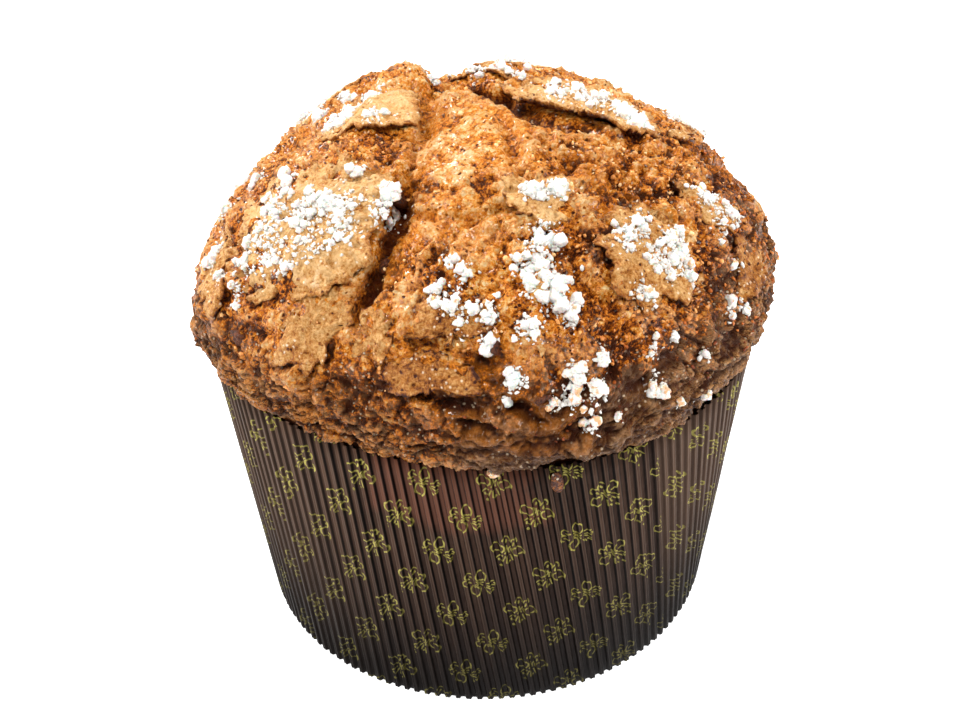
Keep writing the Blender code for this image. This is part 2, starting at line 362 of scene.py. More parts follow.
def add_piece(name, points, quads, triangles, finish, slot, *nodes, **fields):
    """Put whole arrays of points and faces into a mesh, with the numbers that it carries at each point, and
    hang the piece from the root body, hiding the CAD nodes that it stands for."""
    mesh = bpy.data.meshes.new(name)
    mesh.vertices.add(len(points))
    mesh.vertices.foreach_set("co", points.astype(np.float32).ravel())
    loops = np.concatenate([quads.ravel(), triangles.ravel()]).astype(np.int32)
    mesh.loops.add(len(loops))
    mesh.loops.foreach_set("vertex_index", loops)
    starts = np.concatenate([np.arange(len(quads)) * 4, 4 * len(quads) + np.arange(len(triangles)) * 3])
    mesh.polygons.add(len(starts))
    mesh.polygons.foreach_set("loop_start", starts.astype(np.int32))
    mesh.update(calc_edges=True)
    for field, values in fields.items():
        carried = mesh.attributes.new(field, "FLOAT", "POINT")
        carried.data.foreach_set("value", values.astype(np.float32).ravel())
    mesh.validate()
    mesh.shade_smooth()
    mesh.materials.append(finish)
    piece = add_object(name, mesh)
    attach(piece, "root")
    if nodes:
        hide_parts(*nodes)


def fan(tip, ring):
    """Triangles between a tip and each side of a closed ring of point numbers."""
    tips = np.broadcast_to(tip, ring.shape)
    return np.stack([tips, ring, np.roll(ring, -1, axis=-1)], axis=-1).reshape(-1, 3)


def band_faces(first, second):
    """Quads between two closed rings of point numbers: the first lies above, and both turn rightwards."""
    return np.stack([first, second, np.roll(second, -1, axis=-1), np.roll(first, -1, axis=-1)], axis=-1)


def shell_faces(rings, spokes, copies=1):
    """Faces of closed shells: rings of `spokes` points going down, then a top point and a bottom point, one
    shell after another. Quads join the rings and triangles close both ends."""
    each = rings * spokes + 2
    base = np.arange(copies)[:, None, None] * each
    ring = base + np.arange(rings * spokes).reshape(1, rings, spokes)
    quads = band_faces(ring[:, :-1], ring[:, 1:]).reshape(-1, 4)
    top, bottom = base[:, 0] + rings * spokes, base[:, 0] + rings * spokes + 1
    return quads, np.concatenate([fan(top, ring[:, 0]), fan(bottom, ring[:, -1])[:, [1, 0, 2]]])


def unit_globe(rings, spokes):
    """Points of a unit ball as shell_faces counts them: rings at even steps of latitude, then the poles."""
    latitude = np.pi / 2 - np.pi * (np.arange(rings)[:, None] + 1) / (rings + 1)
    longitude = 2 * np.pi * np.arange(spokes) / spokes
    across = np.cos(latitude)
    ring = np.broadcast_arrays(across * np.cos(longitude), across * np.sin(longitude), np.sin(latitude))
    return np.concatenate([np.stack(ring, axis=-1).reshape(-1, 3), [(0, 0, 1), (0, 0, -1)]])


def random_turns(count, rng):
    """A random turn for each item, from two random directions made square to each other."""
    first = rng.normal(size=(count, 3))
    first /= np.linalg.norm(first, axis=1)[:, None]
    second = np.cross(first, rng.normal(size=(count, 3)))
    second /= np.linalg.norm(second, axis=1)[:, None]
    return np.stack([first, second, np.cross(first, second)], axis=-1)


def rough_lumps(centres, sizes, rng, rings, spokes, ragged, flatten):
    """Rough lumps, one per centre: a ball pushed in and out by grain, squashed and turned at random."""
    ball = unit_globe(rings, spokes)
    offset = rng.uniform(-50, 50, (len(centres), 1, 3))
    push = 1 + ragged * grain(ball + offset, 0.8, 3) + 0.5 * ragged * grain(ball + offset, 0.4, 4)
    squash = rng.uniform(flatten, 1.1, (len(centres), 1, 3))
    shape = ball * push[..., None] * squash * sizes[:, None, None] / 2
    shape = np.einsum("nij,nmj->nmi", random_turns(len(centres), rng), shape)
    return (shape + centres[:, None]).reshape(-1, 3)


# ------------ shader arithmetic
def math_step(operation, swapped=False):
    """A method of Wire that adds one Math node, with its two terms swapped for a reflected form."""
    def step(self, *others):
        terms = (*others, self) if swapped else (self, *others)
        return self.finish.add("ShaderNodeMath", {"operation": operation}, dict(enumerate(terms)))
    return step


class Wire:
    """One output of a finish's nodes. Arithmetic on it adds Math nodes to the same finish."""

    def __init__(self, finish, socket):
        self.finish, self.socket = finish, socket

    __add__ = __radd__ = math_step("ADD")
    __sub__ = math_step("SUBTRACT")
    __rsub__ = math_step("SUBTRACT", swapped=True)
    __mul__ = __rmul__ = math_step("MULTIPLY")
    __truediv__ = math_step("DIVIDE")
    __pow__ = math_step("POWER")
    __abs__ = math_step("ABSOLUTE")
    at_most = math_step("MINIMUM")
    at_least = math_step("MAXIMUM")
    whole = math_step("ROUND")
    remainder = math_step("FLOORED_MODULO")
    sine = math_step("SINE")
    cosine = math_step("COSINE")

    def ease(self, low, high):
        """0 at low, 1 at high, an S-curve between; low may be above high."""
        values = {"Value": self, "From Min": low, "From Max": high}
        return self.finish.add("ShaderNodeMapRange", {"interpolation_type": "SMOOTHSTEP"}, values)


class Finish:
    """A material whose nodes are written as expressions."""

    def __init__(self, name, **constants):
        self.material = bpy.data.materials.new(name)
        self.material.use_nodes = True
        self.tree = self.material.node_tree
        self.wear(**constants)
        self.place = self.add("ShaderNodeTexCoord", {}, {}, "Object")

    def add(self, kind, settings, values, output=0):
        """A node: its settings first (a ramp's stops as "stops"), then its sockets' values or wires."""
        node = self.tree.nodes.new(kind)
        for key, value in settings.items():
            if key == "stops":
                while len(node.color_ramp.elements) < len(value):
                    node.color_ramp.elements.new(1)
                for element, (position, colour) in zip(node.color_ramp.elements, value):
                    element.position, element.color = position, colour
            else:
                setattr(node, key, value)
        self.set(node, values)
        return Wire(self, node.outputs[output])

    def set(self, node, values):
        """Join wires to a node's sockets, or give the sockets values."""
        for key, value in values.items():
            if isinstance(value, Wire):
                self.tree.links.new(value.socket, node.inputs[key])
            else:
                node.inputs[key].default_value = value

    def field(self, name):
        """A number that the mesh carries at each point."""
        return self.add("ShaderNodeAttribute", {"attribute_name": name}, {}, "Fac")

    def height(self):
        """Height above the floor."""
        return self.add("ShaderNodeSeparateXYZ", {}, {"Vector": self.place}, "Z")

    def noise(self, size, detail, roughness, place=None, distortion=0.0):
        """Noise, 0 to 1 around 0.5, with features about `size` across."""
        values = {"Vector": place or self.place, "Scale": 1 / size, "Detail": detail,
                  "Roughness": roughness, "Distortion": distortion}
        return self.add("ShaderNodeTexNoise", {}, values)

    def cells(self, size, place=None):
        """Distance from the seeds of random cells about `size` across."""
        return self.add("ShaderNodeTexVoronoi", {}, {"Vector": place or self.place, "Scale": 1 / size})

    def blend(self, factor, first, second):
        """Mix of two colours."""
        return self.add("ShaderNodeMix", {"data_type": "RGBA"}, {0: factor, 6: first, 7: second}, 2)

    def ramp(self, value, *stops):
        """A colour for each value, blended between stops: each a position and a 0 to 255 colour."""
        stops = [(position, tone(*colour)) for position, *colour in stops]
        return self.add("ShaderNodeValToRGB", {"stops": stops}, {"Fac": value})

    def stretch(self, scale):
        """Object coordinates squeezed by a factor on each axis."""
        return self.add("ShaderNodeMapping", {}, {"Vector": self.place, "Scale": scale})

    def warped(self, reach):
        """Object coordinates shaken by noise, up to about `reach` each way."""
        values = {"Vector": self.place, "Scale": 0.5 / reach, "Detail": 2.0}
        shake = self.add("ShaderNodeTexNoise", {}, values, "Color")
        values = {0: shake, 1: (2 * reach,) * 3, 2: self.place}
        return self.add("ShaderNodeVectorMath", {"operation": "MULTIPLY_ADD"}, values)

    def relief(self, height):
        """Normal of a bump that is `height` metres high."""
        return self.add("ShaderNodeBump", {}, {"Height": height, "Distance": 1.0, "Strength": 1.0}, "Normal")

    def wear(self, **sockets):
        """Give the shader's own sockets wires or values, and hand back the material."""
        values = {socket.replace("_", " "): value for socket, value in sockets.items()}
        self.set(self.tree.nodes["Principled BSDF"], values)
        return self.material


def tone(red, green, blue):
    """A colour from its 0 to 255 screen values."""
    parts = (np.array((red, green, blue)) / 255) ** 2.2
    return (*[float(part) for part in parts], 1.0)


# ------------ plates of glaze
PLATES = [  # how brown, thickness and raise in mm, the raised side's azimuth in degrees, corners in mm
    (0.22, 1.2, 2, 70, [(-82, -10), (-52, -18), (-27, -38), (-35, -62), (-49, -77), (-66, -74), (-88, -52),
     (-87, -26)]),
    (0.28, 1.1, 1.2, 40, [(-59, 22), (-42, 33), (-18, 14), (-24, -9), (-50, -8)]),
    (0.25, 1, 4.2, -28, [(8, 24), (17, 9), (27, -2), (38, -9), (54, -11), (66, -4), (68, 12), (54, 34),
     (32, 40)]),
    (0.5, 1.2, 2.6, 60, [(69, 3), (75, 0), (80, 6), (78, 13), (71, 13)]),
    (0.5, 0.9, 2.2, -25, [(-13, 42), (-4, 37), (6, 28), (12, 27), (15, 38), (6, 50), (-8, 54)]),
    (0.35, 1.4, 1.2, -60, [(8, -43), (29, -41), (32, -57), (21, -63), (9, -58)]),
    (0.5, 1, 0.6, -20, [(38, -54), (54, -46), (72, -51), (77, -66), (68, -76), (54, -82), (42, -77)]),
    (0.45, 1, 1.2, 30, [(66, -34), (78, -27), (97, -25), (91, -38), (77, -46)]),
    (0.62, 0.9, 0.8, 10, [(-78, -73), (-54, -71), (-47, -80), (-54, -92), (-67, -93), (-81, -81)]),
    (0.66, 0.9, 0.8, 20, [(-46, -84), (-35, -82), (-31, -94), (-38, -104), (-50, -96)]),
    (0.9, 1.1, 1.2, 0, [(-24, -86), (1, -86), (5, -97), (-10, -101), (-28, -96)]),
    (1, 1.1, 1.2, 0, [(-36, -103), (-18, -101), (2, -103), (-2, -111), (-20, -114), (-35, -111)]),
    (0.6, 1.2, 0.8, -40, [(-108, -32), (-98, -17), (-90, -17), (-95, -48), (-104, -53)]),
    (0.85, 1.2, 0.8, 60, [(92, -41), (109, -31), (108, -48), (94, -62)]),
    (0.2, 1.5, 1.6, 150, [(-50, 44), (-70, 42), (-74, 66), (-52, 82), (-36, 62)]),
    (0.3, 1.4, 1, 200, [(4, 52), (28, 56), (34, 76), (14, 90), (-4, 76)]),
    (0.45, 1.3, 1, 120, [(78, 28), (92, 34), (90, 58), (76, 60), (68, 44)]),
    (0.5, 1.3, 0.8, 180, [(34, 94), (58, 86), (62, 100), (44, 112), (30, 108)]),
    (0.55, 1.3, 0.8, 220, [(-42, 96), (-20, 98), (-18, 112), (-36, 118), (-48, 108)]),
    (0.45, 1.2, 0.8, 260, [(-104, 14), (-92, 12), (-88, 36), (-98, 48), (-110, 34)]),
    (0.6, 1.2, 0.8, 100, [(104, -10), (114, -6), (112, 16), (102, 14)]),
]
ROUNDING = 9.0  # the power that rounds a plate's corners; more is sharper
PLATE_STEP = 0.62 * MM


def plate_side(corners):
    """The middle of a plate, and each side's direction outwards and distance from the middle."""
    corners = np.array(corners) * MM
    middle = corners.mean(axis=0)
    sides = np.roll(corners, -1, axis=0) - corners
    out = np.stack([sides[:, 1], -sides[:, 0]], axis=-1) / np.linalg.norm(sides, axis=1)[:, None]
    far = np.sum(out * (corners - middle), axis=1)
    return middle, out * np.sign(far)[:, None], np.abs(far)


def plate_share(flat, corners):
    """0 at a plate's middle and 1 at its edge: a rounded greatest of the shares towards each side."""
    middle, out, far = plate_side(corners)
    shares = np.maximum((flat - middle) @ out.T / far, 0)
    return np.sum(shares**ROUNDING, axis=-1) ** (1 / ROUNDING)


def plate_cover(flat):
    """1 under a plate of glaze, 0 away from all."""
    cover = np.zeros(flat.shape[:-1])
    for *_, corners in PLATES:
        inside = (1 - plate_share(flat, corners)) * plate_side(corners)[2].mean()
        cover = np.maximum(cover, smooth(inside, 0.5 * MM, 3.5 * MM))
    return cover


def sheet_lift(flat, place, share, plate):
    """How far a plate's upper face stands above the lumps below it: its thickness, which thins out away from
    its raised side, its rise towards that side, its bubbles and dents, and holes near its edge."""
    _, thick, rise, turn, corners = plate
    middle, _, far = plate_side(corners)
    lean = np.array((math.sin(math.radians(turn)), -math.cos(math.radians(turn))))
    towards = (flat - middle) @ lean / far.mean()
    whole = (0.25 + 0.75 * smooth(towards, -0.9, 0.5)) * (1 + 0.3 * grain(place, 12 * MM, 97))
    bubbles = (0.4 - np.abs(grains(place, 4.2 * MM, 4, 95, 0.65))) * 0.7 * MM
    dents = -smooth(grains(place, 5 * MM, 2, 96), 0.1, 0.5) * 0.7 * MM
    holes = smooth(grains(place, 9 * MM, 4, 98, 0.65), 0.2, 0.36) * smooth(share, 0.45, 0.95)
    holes = holes * (1 - 0.7 * smooth(towards, 0.2, 0.8)) * 2.4 * MM
    return smooth(towards, -0.1, 1.3) ** 1.3 * rise * MM + thick * MM * whole + bubbles + dents - holes


def plate_shell(number, plate):
    """One plate's points, quads, triangles and fields: a thin closed shell over the map, in rings from its
    middle to its ragged edge and back below."""
    browned, thick, _, _, corners = plate
    middle, out, far = plate_side(corners)
    spokes = int(2 * np.pi * far.mean() / PLATE_STEP)
    rings = int(far.mean() / PLATE_STEP / 1.5)
    angle = 2 * np.pi * np.arange(spokes) / spokes
    ray = np.stack([np.cos(angle), np.sin(angle)], axis=-1)
    reach = np.sum(np.maximum(ray @ out.T / far, 0) ** ROUNDING, axis=-1) ** (-1 / ROUNDING)
    edge_place = crust_place(middle + ray * reach[:, None])
    reach = reach + grains(edge_place, 13 * MM, 5, 90 + number, 0.62) * 4.4 * MM
    share = np.concatenate([(np.arange(rings) + 1) / rings, [1.004, 0.99, 0.9, 0.6, 0.3]])[:, None]
    flat = middle + ray * reach[:, None] * share[..., None]
    place = crust_place(flat)
    relief, _ = crust_relief(flat, place, bare=False)
    lift = relief + sheet_lift(flat, place, share, plate)
    lift[rings] -= 0.3 * thick * MM
    lift[rings + 1:] -= 1.15 * thick * MM
    shell = (place + crust_outward(flat) * lift[..., None])[:, ::-1]
    points = np.concatenate([shell.reshape(-1, 3), [shell[0].mean(axis=0), shell[-1].mean(axis=0)]])
    ring = np.arange(len(share)).repeat(spokes)
    edge = np.where(ring < rings, share.repeat(spokes), 1)
    # under marks the plate's underside, which its finish darkens as painted shade
    fields = {"edge": np.append(edge, [0, 0]), "under": np.append(ring > rings, [0, 1]),
              "browned": np.full(len(points), browned)}
    quads, triangles = shell_faces(len(share), spokes)
    return points, quads[:, ::-1], triangles[:, ::-1], fields


def add_plates(finish):
    """All plates of glaze, one shell after another."""
    shells = [plate_shell(number, plate) for number, plate in enumerate(PLATES)]
    points, quads, triangles, fields = zip(*shells)
    starts = np.cumsum([0] + [len(part) for part in points[:-1]])
    quads, triangles = (np.concatenate([part + start for part, start in zip(parts, starts)])
                        for parts in (quads, triangles))
    fields = {name: np.concatenate([part[name] for part in fields]) for name in fields[0]}
    add_piece("glaze_plates", np.concatenate(points), quads, triangles, finish, "crust", **fields)


# ------------ the loaf
def square_disc(steps):
    """A square grid pulled onto the unit disc, so that square rings become circles, which then crowd to the
    front: as complex numbers, the disc's points z move to (z - ic) / (1 + icz), c being the crowding."""
    side = np.linspace(-1, 1, steps + 1)
    a, b = np.meshgrid(side, side, indexing="ij")
    wide = np.abs(a) > np.abs(b)
    longer = np.where(wide, a, b)
    ratio = np.divide(np.where(wide, b, a), longer, out=np.zeros_like(a), where=longer != 0)
    turn = np.where(wide, math.pi / 4 * ratio, math.pi / 2 - math.pi / 4 * ratio)
    disc = longer * np.exp(1j * turn)
    crowded = (disc - 1j * CROWDING) / (1 + 1j * CROWDING * disc)
    return np.stack([crowded.real, crowded.imag], axis=-1)


def square_edge(steps):
    """Point numbers round the edge of that grid, turning rightwards as seen from the front."""
    number = np.arange((steps + 1) ** 2).reshape(steps + 1, steps + 1)
    return np.concatenate([number[:-1, 0], number[-1, :-1], number[:0:-1, -1], number[0, :0:-1]])


def side_rings(azimuth):
    """Rings below the lip: down inside the case, then round the heel in a quarter circle to the bottom."""
    floor = PAPER + GAP
    heel_top = floor + HEEL_RADIUS
    heights = np.linspace(CASE_HEIGHT, heel_top, 5)
    rings = [around(loaf_side(azimuth, z), azimuth, z) for z in heights]
    for turn in np.radians((30, 60, 90)):
        radius = loaf_side(azimuth, heel_top) - HEEL_RADIUS * (1 - math.cos(turn))
        rings.append(around(radius, azimuth, heel_top - HEEL_RADIUS * math.sin(turn)))
    return np.stack(rings)


def clear_of_rim(points):
    """Points lifted to just above the paper's top edge wherever they lie over it, so that the lip rests over
    the rim and not through it. Points further out may hang lower, outside the case."""
    radius, azimuth = polar(points)
    over = np.abs(radius - wall_radius(azimuth, CASE_HEIGHT)) < RIM_BAND
    lowest = np.where(over, CASE_HEIGHT + GAP, 0)
    return np.stack([points[..., 0], points[..., 1], np.maximum(points[..., 2], lowest)], axis=-1)


def add_loaf(finish):
    """The whole loaf: the crust over the map, closed below the lip by rings and a flat bottom."""
    flat = square_disc(CRUST_STEPS) * RIM_REACH
    place = crust_place(flat)
    relief, looks = crust_relief(flat, place)
    crust = clear_of_rim(place + crust_outward(flat) * relief[..., None]).reshape(-1, 3)
    number = np.arange(len(crust)).reshape(CRUST_STEPS + 1, CRUST_STEPS + 1)
    quads = np.stack([number[:-1, :-1], number[1:, :-1], number[1:, 1:], number[:-1, 1:]], axis=-1)
    edge = square_edge(CRUST_STEPS)
    reach, azimuth = polar(flat)
    rings = side_rings(azimuth.ravel()[edge])
    loops = len(crust) + np.arange(len(rings) * len(edge)).reshape(len(rings), -1)
    loops = np.concatenate([edge[None], loops])
    quads = np.concatenate([quads.reshape(-1, 4), band_faces(loops[:-1], loops[1:]).reshape(-1, 4)])
    points = np.concatenate([crust, rings.reshape(-1, 3), [(0, 0, PAPER + GAP)]])
    triangles = fan(len(points) - 1, loops[-1])[:, [1, 0, 2]]
    looks["browned"] = bake(flat, place)
    earlier = 10 * MM * smooth(flat[..., 0], 30 * MM, 90 * MM)
    looks["low"] = smooth(reach + earlier, 108 * MM, 132 * MM) * (1 - 0.65 * bump(azimuth, 0.2, 0.5))
    hidden = {"crevice": 1, "torn": 0, "hollow": 0, "flake": 0, "browned": 0.8, "low": 0}
    fields = {name: np.append(looks[name], np.full(len(points) - len(crust), value))
              for name, value in hidden.items()}
    add_piece("loaf_crust", points, quads, triangles, finish, "crust", "loaf", **fields)


def bake(flat, place):
    """How brown the crust is, 0 gold to 1 dark: pale at the top, darker to the right and towards the lip."""
    right, back = flat[..., 0] / MM, flat[..., 1] / MM
    dark = smooth(right, -36, 8) * smooth(-back, 40, 100) * (1 - 0.4 * smooth(right, 40, 90))
    browned = 0.27 + 0.02 * patch(flat, -2, -26, 26, 30)
    browned = browned + 0.05 * smooth(right, 10, 50) + 0.1 * smooth(-right, 20, 60)
    browned = browned + 0.3 * smooth(right, 66, 96)
    browned = browned + (0.1 + 0.8 * dark) * smooth(np.hypot(right, back), 88, 132)
    return browned + 0.12 * grains(place, 24 * MM, 2, 101)


# ------------ sugar, crumbs and fruit
SUGAR = [  # middle on the map, spread, how many nibs and their size, all lengths in mm, and how toasted
    (20, -66, 4, 10, 3.8, 0), (17, -74, 4, 12, 3.8, 0), (22, -82, 4.5, 13, 4.2, 0),
    (28, -88, 2.6, 6, 4.6, 0), (-14, -85, 3, 6, 3.2, 0.1), (-10, -75, 1.8, 3, 3, 0),
    (-5, -79, 1.8, 3, 3.4, 0), (-7, -90, 2.8, 4, 3.6, 0.1), (3, -90, 2.2, 4, 4.4, 0.1),
    (2, -99, 2, 3, 4.8, 0.2), (15, -94, 2.6, 6, 3.6, 0.2), (40, -98, 1.5, 2, 5.2, 0.1),
    (31, -104, 2.2, 5, 4.4, 0.2), (30, -111, 2.2, 4, 4, 0.5), (38, -116, 2, 3, 4, 0.6),
    (38, -107, 2.4, 4, 4.4, 0.3), (11, -107, 2.2, 5, 4, 0.1), (8, -113, 1, 1, 3.6, 0.3),
    (61, -102, 2.2, 4, 4.2, 0.5), (47, -62, 3, 7, 2.6, 0), (52, -56, 2.4, 6, 2.8, 0),
    (57, -65, 2.6, 5, 2.8, 0.1), (65, -59, 3.4, 12, 3.4, 0), (70, -65, 2.6, 6, 3.8, 0.1),
    (62, -68, 2.4, 4, 3.2, 0.2), (53, -78, 2.4, 5, 3, 0.4), (65, -86, 1, 1, 4.2, 0.4),
    (80, -86, 1, 1, 4.4, 0.5), (75, -103, 1.2, 1, 4.4, 0.6), (92, -96, 1.4, 2, 4.4, 0.5),
    (92, -49, 1.4, 2, 3.8, 0.3), (90, -68, 1.4, 2, 4, 0.4), (48, -113, 1, 1, 3.8, 0.5),
    (24, -112, 1.4, 2, 3.2, 0.6), (98, -60, 1.4, 2, 3.8, 0.4), (58, -92, 1.6, 2, 3, 0.6),
    (78, -34, 3.6, 9, 2.8, 0), (88, -32, 2.6, 6, 2.6, 0.1), (84, -42, 2.6, 4, 2.8, 0.1),
    (17, -50, 2, 15, 3.2, 0), (24, -48, 2, 15, 3.2, 0), (-66, -20, 2, 3, 5, 0), (-41, -31, 1.6, 2, 4.4, 0),
    (-70, -30, 4, 9, 2.8, 0), (-76, -38, 4, 8, 2.6, 0), (-60, -39, 4, 10, 2.8, 0),
    (-53, -41, 3, 10, 3.2, 0), (-62, -43, 2, 3, 4.2, 0), (-47, -47, 3.4, 8, 2.8, 0),
    (-31, -44, 2.4, 8, 4.2, 0), (-34, -51, 2.6, 8, 3.2, 0), (-49, -55, 4, 10, 2.6, 0),
    (-76, -47, 5, 10, 2.4, 0), (-70, -59, 1.6, 2, 4.4, 0), (-62, -54, 5, 8, 2.2, 0),
    (-86, -42, 2.6, 5, 2.4, 0), (-48, 22, 3.6, 12, 3.2, 0), (-46, 10, 3.6, 10, 3.2, 0),
    (-36, 28, 3, 6, 4.2, 0), (-34, -2, 3, 4, 2.8, 0), (27, 20, 3.4, 7, 3, 0), (40, 20, 6, 14, 3.4, 0),
    (54, 12, 4, 16, 4.2, 0), (58, 4, 3, 10, 3.8, 0), (3, 38, 3, 6, 3.4, 0), (13, 35, 3, 4, 3.2, 0),
    (-99, -26, 2.6, 6, 3.8, 0), (-96, -40, 1.6, 2, 3.6, 0.1), (-90, -52, 1.8, 2, 3.2, 0.1),
    (-80, -6, 2.6, 5, 3.6, 0), (-93, -12, 2, 4, 4, 0), (-48, 36, 1.6, 4, 5, 0), (-58, 37, 2, 5, 4.6, 0),
    (-60, 56, 6, 22, 3.6, 0), (-50, 66, 5, 12, 3.4, 0), (14, 68, 6, 20, 3.4, 0), (18, 80, 3, 8, 4.2, 0.1),
    (82, 44, 4.6, 16, 3.4, 0.1), (46, 98, 4, 9, 3.6, 0.3), (-32, 106, 4, 9, 3.8, 0.3),
    (-98, 28, 4, 10, 3.4, 0.1), (4, -146, 0.8, 2, 3.2, 0.9), (-66, 92, 2.6, 4, 4.2, 0.4),
    (74, 78, 2.4, 4, 4, 0.4), (2, 106, 2.6, 5, 4, 0.3), (-14, 46, 2.4, 4, 3.4, 0),
]
FRUIT = [(-35, -68), (-28, -42), (4, -99), (20, -111), (56, -6), (62, -20), (24, 100), (-74, 80), (88, 70),
         (-96, -64), (84, -72)]


def stand_on(flat, rise):
    """Points on top of the crust, or of a plate of glaze where one lies there, `rise` outside it."""
    place = crust_place(flat)
    height, _ = crust_relief(flat, place)
    under_plate, _ = crust_relief(flat, place, bare=False)
    for plate in PLATES:
        share = plate_share(flat, plate[-1])
        on_plate = under_plate + sheet_lift(flat, place, share, plate)
        height = np.where(share < 1, np.maximum(height, on_plate), height)
    return place + crust_outward(flat) * (height + rise)[..., None]


POWDER_PER_NIB = 14
CRUMBS_TRIED = 26000


def round_points(middles, spreads, counts, rng):
    """Points of the map scattered round their middles in a bell curve."""
    middles = np.repeat(middles * MM, counts, axis=0)
    spreads = np.repeat(spreads * MM, counts)
    return middles + rng.normal(size=middles.shape) * spreads[:, None] * 0.8


def add_lumps(name, centres, sizes, rng, rings, spokes, ragged, flatten, finish, **fields):
    """A piece of many rough lumps; each field gives one number per lump."""
    points = rough_lumps(centres, sizes, rng, rings, spokes, ragged, flatten)
    quads, triangles = shell_faces(rings, spokes, len(centres))
    fields = {field: np.repeat(values, rings * spokes + 2) for field, values in fields.items()}
    add_piece(name, points, quads[:, ::-1], triangles[:, ::-1], finish, "crust", **fields)


def add_sugar(finish, powder_finish):
    """White sugar: nibs in fused clusters, then the powder and broken grains round them."""
    rng = np.random.default_rng(11)
    right, back, spreads, counts, size, toast = (np.array(column) for column in zip(*SUGAR))
    middles = np.stack([right, back], axis=-1)
    flat = round_points(middles, spreads, counts, rng)
    sizes = np.repeat(size, counts) * rng.uniform(0.5, 1.15, len(flat)) * MM
    toast = np.clip(np.repeat(toast, counts) * 0.7 + rng.uniform(-0.2, 0.2, len(flat)), 0, 1)
    add_lumps("sugar_nibs", stand_on(flat, sizes * 0.12), sizes, rng, 9, 13, 0.42, 0.75, finish, toast=toast)
    flat = round_points(middles, spreads * 1.05, counts * POWDER_PER_NIB, rng)
    sizes = rng.uniform(0.3, 1.0, len(flat)) ** 1.7 * 2.2 * MM
    add_lumps("sugar_powder", stand_on(flat, sizes * 0.08), sizes, rng, 2, 5, 0.8, 0.35, powder_finish)


def add_crumbs(finish):
    """Broken grains of browned glaze all over the crust, thickest to the right."""
    rng = np.random.default_rng(12)
    flat = rng.uniform(-1, 1, (CRUMBS_TRIED, 2)) * BELLY_REACH
    reach = np.linalg.norm(flat, axis=1)
    place = crust_place(flat)
    wanted = 0.04 + 0.22 * smooth(flat[:, 0], 0, 60 * MM) + 0.4 * grains(place, 16 * MM, 3, 110)
    wanted = wanted * (1 - 0.85 * plate_cover(flat))
    kept = (reach < 126 * MM) & (rng.uniform(0, 1, len(flat)) < wanted)
    flat, place = flat[kept], place[kept]
    sizes = rng.uniform(0.45, 1, len(flat)) ** 2 * 2.0 * MM
    shade = np.clip(bake(flat, place) + rng.normal(0, 0.14, len(flat)), 0, 1)
    centres = stand_on(flat, sizes * -0.08)
    add_lumps("glaze_crumbs", centres, sizes, rng, 3, 6, 0.6, 0.4, finish, browned=shade)


def add_fruit(finish):
    """Raisins baked into the crust, sunk by more than half."""
    rng = np.random.default_rng(13)
    flat = np.array(FRUIT) * MM
    sizes = rng.uniform(4.5, 7.0, len(flat)) * MM
    add_lumps("raisins", stand_on(flat, sizes * -0.2), sizes, rng, 15, 24, 0.6, 0.55, finish)


# ------------ the paper case
SEAM_ANGLE = math.radians(34)
FLUTE_PHASES = np.array([-0.5, -0.41, -0.36, -0.31, -0.25, -0.19, -0.14, -0.05,
                         0.05, 0.14, 0.19, 0.25, 0.31, 0.36, 0.41])
PAPER_SKIN = 0.35 * MM
WALL_ROWS = 16


def flute_profile(phase, deep):
    """Radius added across one flute: a flat groove at phase 0, a ridge at 0.5 and steep walls between."""
    ridge = smooth(np.abs(phase), 0.16, 0.34)
    return FLUTE_DEPTH * ((ridge - 0.5) * deep - 0.12 * smooth(np.abs(phase), 0.38, 0.5))


